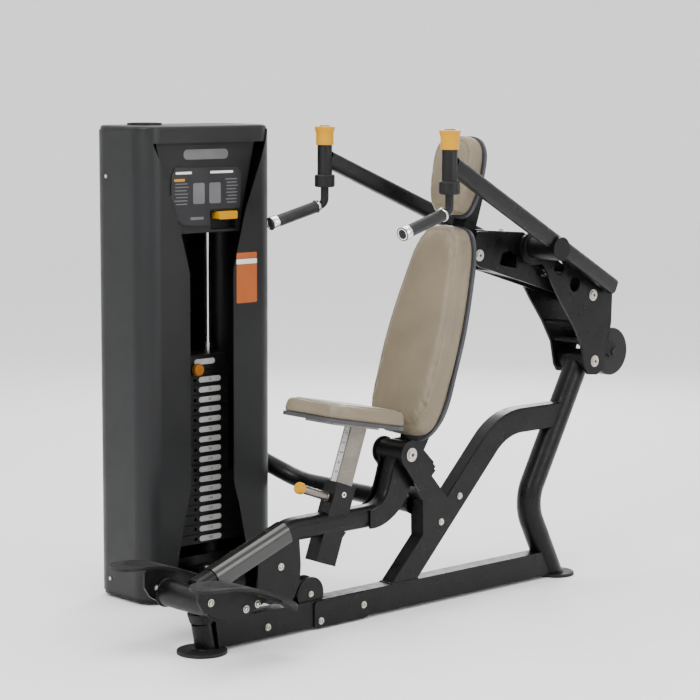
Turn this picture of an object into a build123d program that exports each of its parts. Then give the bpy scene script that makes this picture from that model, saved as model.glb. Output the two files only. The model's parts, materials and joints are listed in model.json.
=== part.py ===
from build123d import *
import os
from math import atan2, cos, degrees, hypot, radians, sin, tan

# Shoulder press machine with a rocking carriage and a weight stack tower.
# Working axes: X to the user's left, Y to the rear, Z up. The working origin is the centre of the
# front foot on the floor; every part is moved at the end so that the origin is the centre of the
# whole machine's footprint, on the floor.

# ---------------------------------------------------------------- driving dimensions (mm)
STEEL_WALL = 3.5
PLATE = 8.0                     # thickness of the pivot and arm side plates
RUNNING = 0.05                  # radial clearance of a shaft that turns in its bore
GAP = 0.5                       # clearance between pieces that move past each other

BEAM_WIDTH = 52.0               # base beam, 2 x 3 inch tube
BEAM_HEIGHT = 76.2
BEAM_BOTTOM = 9.5
BEAM_TOP = BEAM_BOTTOM + BEAM_HEIGHT
BEAM_END = 1402.0
REAR_FOOT_Y = 1439.0
FRONT_FOOT_RADIUS = 70.0
REAR_FOOT_RADIUS = 62.0
FOOT_THICKNESS = 9.5
POST_RADIUS = 29.0
POST_TOP = 84.0

ARM_PIVOT = (1538.0, 680.0)     # (Y, Z) of the press arm's fixed pivot
CARRIAGE_PIVOT = (740.0, 472.0)  # (Y, Z) of the carriage's fixed pivot
LINK_ON_ARM = (1526.0, 890.0)
LINK_ON_CARRIAGE = (1040.0, 1039.0)
AXLE_RADIUS = 12.5
OPEN_PIVOT_CLEARANCE = 4.0      # room in the carriage's link bore

DIAGONAL_ANGLE = 45.5           # degrees above the floor
DIAGONAL_POINT = (897.0, 234.0)  # a point on its centre line
DIAGONAL_TOP_Z = 516.0
UPRIGHT_RADIUS = 38.0
UPRIGHT_KNEE = (1298.0, 248.0)
BRACKET_ANGLE = -48.5           # direction of the pivot bracket, from the pivot down to the rear
BRACKET_HALF_WIDTH = 48.0
BRACKET_EYE = 42.0               # radius of the plates around the pivot

GUARD_CENTRE = (383.0, 106.0)
GUARD_RADIUS = 49.0
CARRIAGE_PULLEY = (261.0, 205.0)

TOWER_FAR_X = -757.0
TOWER_NEAR_X = -500.0
TOWER_MID_Y = 450.0
TOWER_LENGTH = 504.0
TOWER_CORNER = 60.0
SHROUD_BOTTOM = 20.0
SHROUD_TOP = 1411.0
SHROUD_WALL = 3.0
CAP_TOP = 1424.0
STACK_X = -637.0
STACK_DEPTH = 106.0
PLATE_PITCH = 30.75
PLATES_UPPER = 10
PLATES_LOWER = 7
STACK_BOTTOM = 143.6
GUIDE_SPACING = 94.0            # guide rods either side of the middle
GUIDE_RADIUS = 9.5
HEAD_HEIGHT = 61.5

CROSS_TUBE = (-34.0, 155.0)      # (Y, Z) of the foot-rest cross tube
CROSS_TUBE_RADIUS = 37.5
CROSS_TUBE_HALF = 112.0         # the foot brackets stand at its ends
CARRIAGE_WIDTH = 60.0
CARRIAGE_HEIGHT = 66.0
POST_LEAN = 20.0                # seat post, degrees from vertical
POST_POINT = (516.0, 406.0)     # a point on the seat post's centre line
SEAT_TILT = 10.8
BACK_LEAN = 18.5
BACK_POINT = (797.0, 561.0)     # a point on the rear plane of the back rest
HEAD_LEAN = 12.0
HEAD_POINT = (1008.0, 1284.0)

HANDLE_X = 260.0
HANDLE_Y = 687.0
ARM_FRONT = (258.0, 700.0, 1325.0)
ARM_REAR = (88.0, 1592.0, 915.0)
ARM_PLATE_X = 60.0              # inner face of each side plate
COUNTERWEIGHT = (1658.0, 698.0)

nodes = {}


# ---------------------------------------------------------------- helpers
def x_rod(centre, radius, x0, x1):
    """Round bar along X; centre is (Y, Z)."""
    return Pos((x0 + x1) / 2, centre[0], centre[1]) * Rot(0, 90, 0) * Cylinder(radius, x1 - x0)


def z_rod(x, y, radius, z0, z1):
    """Round bar along Z."""
    return Pos(x, y, (z0 + z1) / 2) * Cylinder(radius, z1 - z0)


def span_box(x, y, z):
    """Box from three (low, high) pairs."""
    return Pos(sum(x) / 2, sum(y) / 2, sum(z) / 2) * Box(x[1] - x[0], y[1] - y[0], z[1] - z[0])


def side_plate(points, x0, x1, corner=0.0):
    """Plate with a (Y, Z) outline, between two X values."""
    outline = make_face(Polyline(*points, close=True))
    if corner:
        outline = fillet(outline.vertices(), corner)
    return extrude(Plane.YZ.offset(x0) * outline, x1 - x0)


def swept(points, radii, section, x_dir=(1, 0, 0)):
    """Section swept along straight runs joined by arcs."""
    path = FilletPolyline(*points, radius=radii) if len(points) > 2 else Line(*points)
    return sweep(Plane(origin=path @ 0, x_dir=x_dir, z_dir=path % 0) * section, path=path)


def tube(points, radii, outer, inner, x_dir=(1, 0, 0)):
    """Hollow tube and the solid bar of its outer shape."""
    bar = swept(points, radii, outer, x_dir)
    return bar - swept(points, radii, inner, x_dir), bar


def both_sides(shape):
    """The shape and its mirror image across the middle plane."""
    return shape + mirror(shape, Plane.YZ)


def bolt_x(centre, x, side, radius=7.0):
    """Domed bolt head and washer standing on a face at x, pointing along side (+1 or -1)."""
    washer = x_rod(centre, radius * 1.45, *sorted((x, x + side * 1.6)))
    head = x_rod(centre, radius, *sorted((x + side * 1.6, x + side * 5.6)))
    socket = x_rod(centre, radius * 0.42, *sorted((x + side * 3.0, x + side * 6.0)))
    return washer + head - socket


def along(point, angle, distance, across=0.0):
    """(Y, Z) point at a distance along a direction in the side plane, then across it to the left."""
    a = radians(angle)
    return (point[0] + distance * cos(a) - across * sin(a), point[1] + distance * sin(a) + across * cos(a))


def strip(point, angle, start, end, low, high):
    """Four corners of a rectangle laid along a direction in the side plane."""
    return [along(point, angle, start, low), along(point, angle, end, low),
            along(point, angle, end, high), along(point, angle, start, high)]


def pulley(centre, radius, half_width, bore):
    """Grooved sheave turning about X."""
    rim = make_face(Polyline((bore, -half_width), (radius, -half_width), (radius, -half_width + 2),
                             (radius - 7, -2), (radius - 7, 2), (radius, half_width - 2),
                             (radius, half_width), (bore, half_width), close=True))
    wheel = revolve(Plane.XZ * rim, Axis.Z)
    return Pos(0, centre[0], centre[1]) * Rot(0, 90, 0) * wheel


# ---------------------------------------------------------------- base frame
def make_base():
    front_disc = z_rod(0, 0, FRONT_FOOT_RADIUS, 0, FOOT_THICKNESS)
    rear_disc = z_rod(0, REAR_FOOT_Y, REAR_FOOT_RADIUS, 0, FOOT_THICKNESS)
    discs = [fillet(d.edges().group_by(Axis.Z)[-1], 3) for d in (front_disc, rear_disc)]
    tower_feet = [z_rod(x, TOWER_MID_Y + s * 165, 24, 0, FOOT_THICKNESS)
                  for x in (TOWER_FAR_X + 50, TOWER_NEAR_X - 50) for s in (-1, 1)]
    nodes["floor_feet"] = Compound(discs + tower_feet)

    post_axis = ((0, 12, FOOT_THICKNESS + 2.2), (0, -2, POST_TOP))
    post = swept(post_axis, None, Circle(POST_RADIUS))
    post = post & span_box((-60, 60), (-60, 80), (FOOT_THICKNESS, 120))
    post += span_box((-POST_RADIUS, POST_RADIUS), (5, 20), (FOOT_THICKNESS, FOOT_THICKNESS + 3)) & \
        z_rod(0, 12, POST_RADIUS, FOOT_THICKNESS, FOOT_THICKNESS + 3)
    flange = side_plate([(36, FOOT_THICKNESS), (46, FOOT_THICKNESS), (34, BEAM_TOP + 6), (24, BEAM_TOP + 6)],
                        -BEAM_WIDTH / 2 - 4, BEAM_WIDTH / 2 + 4)
    nodes["front_post"] = post + flange
    cap = Pos(0, -3, POST_TOP + 1) * Cone(POST_RADIUS + 2, POST_RADIUS + 9, 22, align=(Align.CENTER,) * 2 + (Align.MIN,))
    cap += z_rod(0, -3, POST_RADIUS + 9, POST_TOP + 23, POST_TOP + 27)
    pad = z_rod(0, -20, 18, POST_TOP + 27, POST_TOP + 38) - x_rod(CROSS_TUBE, CROSS_TUBE_RADIUS + GAP, -40, 40)
    nodes["front_bumper"] = cap + pad - nodes["front_post"]

    beam_bar = span_box((-BEAM_WIDTH / 2, BEAM_WIDTH / 2), (30, BEAM_END), (BEAM_BOTTOM, BEAM_TOP))
    inside = BEAM_WIDTH / 2 - STEEL_WALL
    hollow = span_box((-inside, inside), (0, BEAM_END + 10), (BEAM_BOTTOM + STEEL_WALL, BEAM_TOP - STEEL_WALL))
    slot = span_box((-13, 13), (GUARD_CENTRE[0] - 62, GUARD_CENTRE[0] + 62), (BEAM_TOP - 10, BEAM_TOP + 10))
    nodes["base_beam"] = beam_bar - hollow - slot - nodes["front_post"]

    splice = []
    for side in (-1, 1):
        near = BEAM_WIDTH / 2 * side
        plate = side_plate([(388, 6), (600, 6), (600, 83), (388, 83)], *sorted((near, near + side * 5)), corner=12)
        splice.append(plate)
    ears = []
    for side in (-1, 1):
        ear = x_rod(GUARD_CENTRE, GUARD_RADIUS, *sorted((side * 15, side * 19)))
        ear -= span_box((-30, 30), (300, 460), (0, BEAM_TOP))
        ears.append(ear)
    pin = x_rod(GUARD_CENTRE, 7.9, -15, 15)
    nodes["beam_plates"] = Compound(splice + [ears[0] + ears[1] + pin])
    nodes["base_pulley"] = pulley(GUARD_CENTRE, 40, 11, 7.95)

    lateral = span_box((-568, -BEAM_WIDTH / 2 - 5), (403, 479), (35, 86))
    nodes["lateral_tube"] = lateral - span_box((-600, 0), (403 + STEEL_WALL, 479 - STEEL_WALL), (35 + STEEL_WALL, 86 - STEEL_WALL))
    return beam_bar


def make_rear_frame(beam_bar):
    corner_y = DIAGONAL_POINT[0] + (DIAGONAL_TOP_Z - DIAGONAL_POINT[1]) / tan(radians(DIAGONAL_ANGLE))
    foot = along(DIAGONAL_POINT, DIAGONAL_ANGLE, -260)
    end_y = 1445.0
    points = [(0, *foot), (0, corner_y, DIAGONAL_TOP_Z), (0, end_y, DIAGONAL_TOP_Z)]
    diagonal, diagonal_bar = tube(points, [200], RectangleRounded(BEAM_WIDTH, BEAM_HEIGHT, 6),
                                  RectangleRounded(BEAM_WIDTH - 7, BEAM_HEIGHT - 7, 4))
    # upright: a round tube with a knee, from the rear foot to the arm pivot's hub
    upper = (ARM_PIVOT[0] - UPRIGHT_KNEE[0], ARM_PIVOT[1] - UPRIGHT_KNEE[1])
    base_y = UPRIGHT_KNEE[0] + UPRIGHT_KNEE[1] * 0.511
    upright_points = [(0, base_y + 3, -6), (0, *UPRIGHT_KNEE), (0, ARM_PIVOT[0] - 12, ARM_PIVOT[1] - 20)]
    upright, upright_bar = tube(upright_points, [130], Circle(UPRIGHT_RADIUS), Circle(UPRIGHT_RADIUS - STEEL_WALL))
    above_floor = span_box((-60, 60), (1150, 1650), (FOOT_THICKNESS, 760))
    hub = x_rod(ARM_PIVOT, 34, -ARM_PLATE_X + GAP, ARM_PLATE_X - GAP)
    bore = x_rod(ARM_PIVOT, AXLE_RADIUS + RUNNING, -80, 80)
    crown = side_plate(strip(ARM_PIVOT, degrees(atan2(upper[1], upper[0])), -60, 0, -30, 30), -20, 20) - hub
    nodes["upright_tube"] = (upright & above_floor) + (hub + crown) - bore
    diagonal_floor = span_box((-60, 60), (500, 1500), (BEAM_TOP, 760))
    nodes["diagonal_beam"] = (diagonal & diagonal_floor) - upright_bar
    beam = nodes["base_beam"] - upright_bar
    nodes["base_beam"] = beam.solids().sort_by(SortBy.VOLUME)[-1]
    return diagonal_bar


def make_pivot_bracket(diagonal_bar):
    p, a, w = CARRIAGE_PIVOT, BRACKET_ANGLE, BRACKET_HALF_WIDTH
    inner = 54.0
    e = BRACKET_EYE
    sides = [along(p, a, 0, -e), along(p, a, 108, -w), along(p, a, 108, w - 26), along(p, a, 84, w), along(p, a, 0, e)]
    plate = side_plate(sides, inner, inner + PLATE) + x_rod(p, e, inner, inner + PLATE)
    cross = side_plate(strip(p, a, 92, 108, -12, w), -inner, inner)
    block = side_plate(strip(p, a, 108, 290, -38, 36), -26, 26)
    block -= side_plate(strip(p, a, 108, 290, -33, 31), -21, 21)
    bore = x_rod(p, AXLE_RADIUS + 0.01, -90, 90)
    web = side_plate([(822, 372), (826, 190), (900, 270), (900, 340)], -26, 26)
    bracket = both_sides(plate) + cross + (block - diagonal_bar) + (web - diagonal_bar)
    cap_plate = side_plate(strip(p, a, 104, 110, -38, 36), -inner - PLATE, inner + PLATE)
    nodes["pivot_bracket"] = bracket + cap_plate - bore
    axle = x_rod(p, AXLE_RADIUS, -inner - PLATE, inner + PLATE)
    for side in (-1, 1):
        axle += bolt_x(p, side * (inner + PLATE), side, 14)
    nodes["pivot_axle"] = axle


def make_brace():
    start = (-26, 832, 302)
    corner = (-530, 832, 302)
    end = (-690, TOWER_MID_Y + TOWER_LENGTH / 2 + 9, 404)
    rear = TOWER_MID_Y + TOWER_LENGTH / 2
    pad = span_box((-735, -625), (rear + 0.5, rear + 8), (352, 462))
    pad = fillet(pad.edges().filter_by(Axis.Y), 14)
    beyond = span_box((-900, 0), (rear + 8, 1000), (0, 700))
    longer, _ = tube([start, corner, tuple(c + (e - c) * 1.15 for c, e in zip(corner, end))], [150],
                     Circle(28), Circle(28 - STEEL_WALL), x_dir=(0, 0, 1))
    nodes["brace_tube"] = (longer & beyond) + pad


# ---------------------------------------------------------------- weight stack tower
def tower_plan(inset):
    """Rounded plan of the tower, inset from the outer face, centred on the tower."""
    depth = TOWER_NEAR_X - TOWER_FAR_X
    return Pos((TOWER_NEAR_X + TOWER_FAR_X) / 2, TOWER_MID_Y) * RectangleRounded(
        depth - 2 * inset, TOWER_LENGTH - 2 * inset, TOWER_CORNER - inset)


def tower_slab(inset, z0, z1):
    return extrude(Pos(0, 0, z0) * tower_plan(inset), z1 - z0)


def make_tower():
    tray = tower_slab(SHROUD_WALL + 0.5, 9.5, 20)
    rail = span_box((STACK_X - 35, STACK_X + 35), (TOWER_MID_Y - 190, TOWER_MID_Y + 190), (20, 104))
    rail -= span_box((STACK_X - 31, STACK_X + 31), (0, 900), (24, 100))
    posts = [span_box((TOWER_FAR_X + 10, TOWER_FAR_X + 50), (TOWER_MID_Y + s * 130 - 20, TOWER_MID_Y + s * 130 + 20), (20, 1372))
             for s in (-1, 1)]
    head = span_box((TOWER_FAR_X + 10, STACK_X + 50), (TOWER_MID_Y - 150, TOWER_MID_Y + 150), (1340, 1348))
    cross = span_box((TOWER_FAR_X + 10, STACK_X - 35), (TOWER_MID_Y - 110, TOWER_MID_Y + 110), (40, 90))
    frame = tray + rail + posts[0] + posts[1] + head + cross
    bumpers = [z_rod(STACK_X, TOWER_MID_Y + s * GUIDE_SPACING, 24, 104, STACK_BOTTOM) for s in (-1, 1)]
    rods = [z_rod(STACK_X, TOWER_MID_Y + s * GUIDE_SPACING, GUIDE_RADIUS, 104, 1340) for s in (-1, 1)]
    frame -= span_box((-600, 0), (400, 482), (30, 90))
    nodes["tower_frame"] = frame
    nodes["guide_rods"] = Compound(rods)
    sleeves = [b - r for b, r in zip(bumpers, rods)]
    nodes["stack_bumpers"] = Compound(sleeves)

    # wrap-round covers with an opening towards the user, wide at its top and bottom
    shell = tower_slab(0, SHROUD_BOTTOM, SHROUD_TOP) - tower_slab(SHROUD_WALL, SHROUD_BOTTOM - 5, SHROUD_TOP + 5)
    half = [(240, 1440), (216, 1375), (133, 1168), (84, 990), (84, 340), (106, 262), (160, 0)]
    outline = [(TOWER_MID_Y + w, z) for w, z in half] + [(TOWER_MID_Y - w, z) for w, z in reversed(half)]
    face = make_face(Polyline(*outline, close=True))
    corners = [v for v in face.vertices() if 200 < v.Y < 1300]
    face = fillet(corners, 60)
    opening = extrude(Plane.YZ.offset(TOWER_NEAR_X - 110) * face, 140)
    back = span_box((TOWER_FAR_X - 5, TOWER_FAR_X + 20), (TOWER_MID_Y - 130, TOWER_MID_Y + 130), (0, 1500))
    shell = shell - opening - back
    front_half = span_box((-900, -400), (100, TOWER_MID_Y), (0, 1500))
    nodes["front_shroud"] = shell & front_half
    nodes["rear_shroud"] = shell - front_half
    nodes["back_panel"] = span_box((TOWER_FAR_X, TOWER_FAR_X + SHROUD_WALL),
                                   (TOWER_MID_Y - 129.5, TOWER_MID_Y + 129.5), (SHROUD_BOTTOM, SHROUD_TOP - 3))

    cap = tower_slab(SHROUD_WALL + 1, 1373, CAP_TOP)
    cap = fillet(cap.edges().group_by(Axis.Z)[-1], 9)
    ring = z_rod(-632, 303, 52, CAP_TOP - 1, CAP_TOP + 7) - z_rod(-632, 303, 43, CAP_TOP - 20, CAP_TOP + 9)
    cap -= z_rod(-632, 303, 43, CAP_TOP - 16, CAP_TOP + 9)
    nodes["top_cap"] = cap + ring
    make_tower_face()


def make_tower_face():
    """Header panel with its placard, and the pocket for the add-on weight lever."""
    mid = TOWER_MID_Y
    panel = side_plate([(mid - 188, 1372.5), (mid + 188, 1372.5), (mid + 140, 1170), (mid + 128, 1104),
                        (mid - 128, 1104), (mid - 140, 1170)], -534, -526)
    pocket_y, pocket_z = (mid + 16, mid + 118), (1112, 1168)
    panel -= span_box((-540, -520), pocket_y, pocket_z)
    box = span_box((-560, -534), (pocket_y[0] - 3, pocket_y[1] + 3), (pocket_z[0] - 3, pocket_z[1] + 3))
    box -= span_box((-557, -530), pocket_y, pocket_z)
    nodes["header_panel"] = panel + box
    placard = side_plate([(mid - 137, 1182), (mid - 132, 1278), (mid - 118, 1300), (mid + 122, 1296), (mid + 134, 1276),
                          (mid + 130, 1174), (mid + 12, 1174), (mid + 12, 1126), (mid - 78, 1128), (mid - 100, 1134)],
                         -526, -523)
    nodes["placard"] = placard
    lever = span_box((-550, -514), (mid + 40, mid + 112), (1142, 1166))
    nodes["add_on_lever"] = fillet(lever.edges().filter_by(Axis.X), 5)


def stack_slab(half_length, z0, z1, bevel):
    slab = span_box((STACK_X - STACK_DEPTH / 2, STACK_X + STACK_DEPTH / 2),
                    (TOWER_MID_Y - half_length, TOWER_MID_Y + half_length), (z0, z1))
    slab = chamfer(slab.edges(), bevel)
    slab -= z_rod(STACK_X, TOWER_MID_Y, 16, z0 - 1, z1 + 1)
    for s in (-1, 1):
        slab -= z_rod(STACK_X, TOWER_MID_Y + s * GUIDE_SPACING, 13, z0 - 1, z1 + 1)
    return slab


def make_stack():
    groups = {"plates_lower": [], "plates_upper": []}
    total = PLATES_LOWER + PLATES_UPPER
    for i in range(total):
        z0 = STACK_BOTTOM + i * PLATE_PITCH
        lower = i < PLATES_LOWER
        slab = stack_slab(195 if lower else 130, z0, z0 + PLATE_PITCH, 1.4)
        slab -= x_rod((TOWER_MID_Y, z0 + PLATE_PITCH / 2), 5.5, STACK_X, STACK_X + STACK_DEPTH)
        groups["plates_lower" if lower else "plates_upper"].append(slab)
    for name, slabs in groups.items():
        nodes[name] = Compound(slabs)
    z0 = STACK_BOTTOM + total * PLATE_PITCH + 0.4
    step = stack_slab(136, z0, z0 + 14, 1.2)
    block = stack_slab(121, z0 + 14, z0 + HEAD_HEIGHT, 2)
    pin_z = z0 + 18
    head = step + block
    stem = z_rod(STACK_X, TOWER_MID_Y, 12.5, STACK_BOTTOM + 8, z0 + HEAD_HEIGHT + 34)
    collar = z_rod(STACK_X, TOWER_MID_Y, 16, z0, z0 + HEAD_HEIGHT)
    pin_hole = x_rod((TOWER_MID_Y, pin_z), 5.0, STACK_X - 30, STACK_X + STACK_DEPTH)
    nodes["head_plate"] = head + (collar - z_rod(STACK_X, TOWER_MID_Y, 12.5, 0, 2000)) - pin_hole
    nodes["selector_stem"] = stem - pin_hole
    bushes = []
    for s in (-1, 1):
        y = TOWER_MID_Y + s * GUIDE_SPACING
        bush = z_rod(STACK_X, y, 13, z0 + 2, z0 + HEAD_HEIGHT + 30) - z_rod(STACK_X, y, GUIDE_RADIUS + RUNNING, 0, 2000)
        bushes.append(bush)
    nodes["head_bushings"] = Compound(bushes)
    face_x = STACK_X + STACK_DEPTH / 2
    knob = x_rod((TOWER_MID_Y, pin_z), 19, face_x + 5, face_x + 25)
    knob = fillet(knob.edges(), 6)
    shank = x_rod((TOWER_MID_Y, pin_z), 4.9, STACK_X - 10, face_x + 8)
    collar_pin = x_rod((TOWER_MID_Y, pin_z), 10, face_x + 0.4, face_x + 8)
    nodes["selector_pin"] = shank + collar_pin + knob


# ---------------------------------------------------------------- press arm
def arm_tube(side):
    rear = (side * ARM_REAR[0], *ARM_REAR[1:])
    front = (side * ARM_FRONT[0], *ARM_FRONT[1:])
    return tube([front, rear], None, RectangleRounded(38, 50, 14), RectangleRounded(31, 43, 11))


def make_press_arm():
    x0, x1 = ARM_PLATE_X, ARM_PLATE_X + PLATE
    outline = [(1192, 1052), (1204, 1088), (1240, 1104), (1600, 938), (1619, 905), (1616, 800), (1604, 730),
               (1578, 652), (1552, 636), (1508, 640), (1494, 662), (1478, 735), (1434, 806), (1376, 880),
               (1292, 1000), (1244, 1000), (1206, 1016)]
    plate = side_plate(outline, x0, x1, corner=8)
    for centre in ((1367, 985), (1440, 930)):
        plate -= x_rod(centre, 24, 0, 90)
    stub_axis = (1246.0, 1056.0)
    stub = x_rod(stub_axis, 36, x1, 185)
    left_tube, left_bar = arm_tube(1)
    right_tube, right_bar = arm_tube(-1)
    slots = both_sides(plate)
    ribs = span_box((-x0, x0), (1443, 1500), (798, 806)) + span_box((-x0, x0), (1482, 1530), (740, 748))
    tie = x_rod((1580, 748), 16, -x0, x0)
    lug = side_plate(strip((1580, 748), degrees(atan2(-50, 78)), 0, 96, -22, 22), 37, 45, corner=10)
    lug -= x_rod(COUNTERWEIGHT, 12.1, 0, 90)
    carrier = slots + ribs + tie + both_sides(lug)
    for stub_side in (stub - left_bar, mirror(stub, Plane.YZ) - right_bar):
        inner_part = sorted(stub_side.solids(), key=lambda s: abs(s.center().X))[0]
        carrier += inner_part
    for centre in (ARM_PIVOT, LINK_ON_ARM):
        carrier -= x_rod(centre, AXLE_RADIUS + 0.01, -90, 90)
    nodes["arm_carrier"] = carrier
    housing_core = {1: z_rod(HANDLE_X, HANDLE_Y, 22, 1200, 1400), -1: z_rod(-HANDLE_X, HANDLE_Y, 22, 1200, 1400)}
    # each arm is cut at its housing, and notched where its rear end laps the side plate
    for name, side, hollow in (("arm_tube_left", 1, left_tube), ("arm_tube_right", -1, right_tube)):
        cap_end = swept([(side * ARM_REAR[0], ARM_REAR[1] - 3, ARM_REAR[2] + 1.4), (side * ARM_REAR[0], *ARM_REAR[1:])],
                        None, RectangleRounded(36, 48, 13))
        whole = hollow + cap_end
        whole = whole - housing_core[side] - slots
        nodes[name] = whole.solids().sort_by(SortBy.VOLUME)[-1]
    drum = x_rod(COUNTERWEIGHT, 76, -36, 36)
    drum = chamfer(drum.edges(), 3)
    nodes["counterweight"] = drum + x_rod(COUNTERWEIGHT, 12, -48, 48)
    axles = []
    for centre in (ARM_PIVOT, LINK_ON_ARM):
        axle = x_rod(centre, AXLE_RADIUS, -x1, x1)
        for side in (-1, 1):
            axle += bolt_x(centre, side * x1, side, 12.5)
        axles.append(axle)
    nodes["arm_axles"] = Compound(axles)


def make_handles():
    grip_start = (262, 664, 1188)
    grip_end = (277, 488, 1141)
    housing = z_rod(HANDLE_X, HANDLE_Y, 22, 1280.5, 1367) - z_rod(HANDLE_X, HANDLE_Y, 12 + RUNNING, 1200, 1400)
    nodes["handle_housings"] = Compound([housing, mirror(housing, Plane.YZ)])
    knee = (HANDLE_X, HANDLE_Y, 1194)
    rod = swept([(HANDLE_X, HANDLE_Y, 1360), knee, grip_end], [22], Circle(12))
    collar = z_rod(HANDLE_X, HANDLE_Y, 30, 1243, 1280)
    collar = chamfer(collar.edges(), 3)
    direction = Vector(*grip_end) - Vector(*knee)
    length = direction.length
    unit = direction.normalized()
    first = Vector(*knee) + unit * 34
    start_plane = Plane(origin=first, z_dir=unit)
    grip_length = length - 34 - 9
    ferrule = extrude(start_plane * Circle(19.5), -6)
    end_plane = Plane(origin=first + unit * grip_length, z_dir=unit)
    cap = extrude(end_plane * Circle(19.5), 9)
    grip = extrude(start_plane * Circle(17.5), grip_length) - extrude(start_plane * Circle(12.05), grip_length)
    handle = rod + collar + ferrule + cap
    knob_z = 1367.4
    profile = make_face(Polyline((13, 0), (29, 0), (30, 6), (30, 14), (26, 20), (26, 36), (30.5, 42),
                                 (30.5, 54), (27, 58), (13, 58), close=True))
    knob = Pos(HANDLE_X, HANDLE_Y, knob_z) * revolve(Plane.XZ * profile, Axis.Z)
    knob += z_rod(HANDLE_X, HANDLE_Y, 13.5, knob_z, knob_z + 54)
    for side, name in ((1, "left"), (-1, "right")):
        for part, shape in (("handle", handle), ("grip", grip), ("knob", knob)):
            nodes[part + "_" + name] = shape if side > 0 else mirror(shape, Plane.YZ)


def make_link():
    p, q = LINK_ON_ARM, LINK_ON_CARRIAGE
    side_x = 34.0
    wall = 6.0
    outline = [(q[0] - 30, q[1] + 12), (q[0] - 12, q[1] + 72), (1232, 1100), (p[0] + 4, p[1] + 31), (p[0] + 28, p[1]),
               (p[0] + 4, p[1] - 30), (1098, 989), (q[0] + 4, q[1] - 36), (q[0] - 30, q[1] - 16)]
    plate = side_plate(outline, side_x, side_x + wall, corner=10)
    window = side_plate([(1128, 1006), (1204, 990), (1208, 1030), (1176, 1046), (1140, 1040)], 0, 90, corner=7)
    second = side_plate([(1290, 968), (1420, 936), (1430, 958), (1300, 1020)], 0, 90, corner=9)
    flange = side_plate([(1088, 1111), (1232, 1100), (1430, 972), (1428, 966), (1230, 1093), (1088, 1104)], -side_x, side_x)
    sole = side_plate([(1100, 988.6), (1420, 910.6), (1420, 917), (1100, 995)], -side_x, side_x)
    bush = x_rod(p, 27, -ARM_PLATE_X + GAP, ARM_PLATE_X - GAP)
    link = both_sides(plate - window - second) + flange + sole + bush
    link -= x_rod(p, AXLE_RADIUS + RUNNING, -90, 90)
    link -= x_rod(q, 12.02, -90, 90)
    nodes["link_bar"] = link
    bolt = x_rod(q, 12, -side_x - wall, side_x + wall)
    for side in (-1, 1):
        bolt += bolt_x(q, side * (side_x + wall), side, 12)
    nodes["link_bolt"] = bolt


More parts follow.
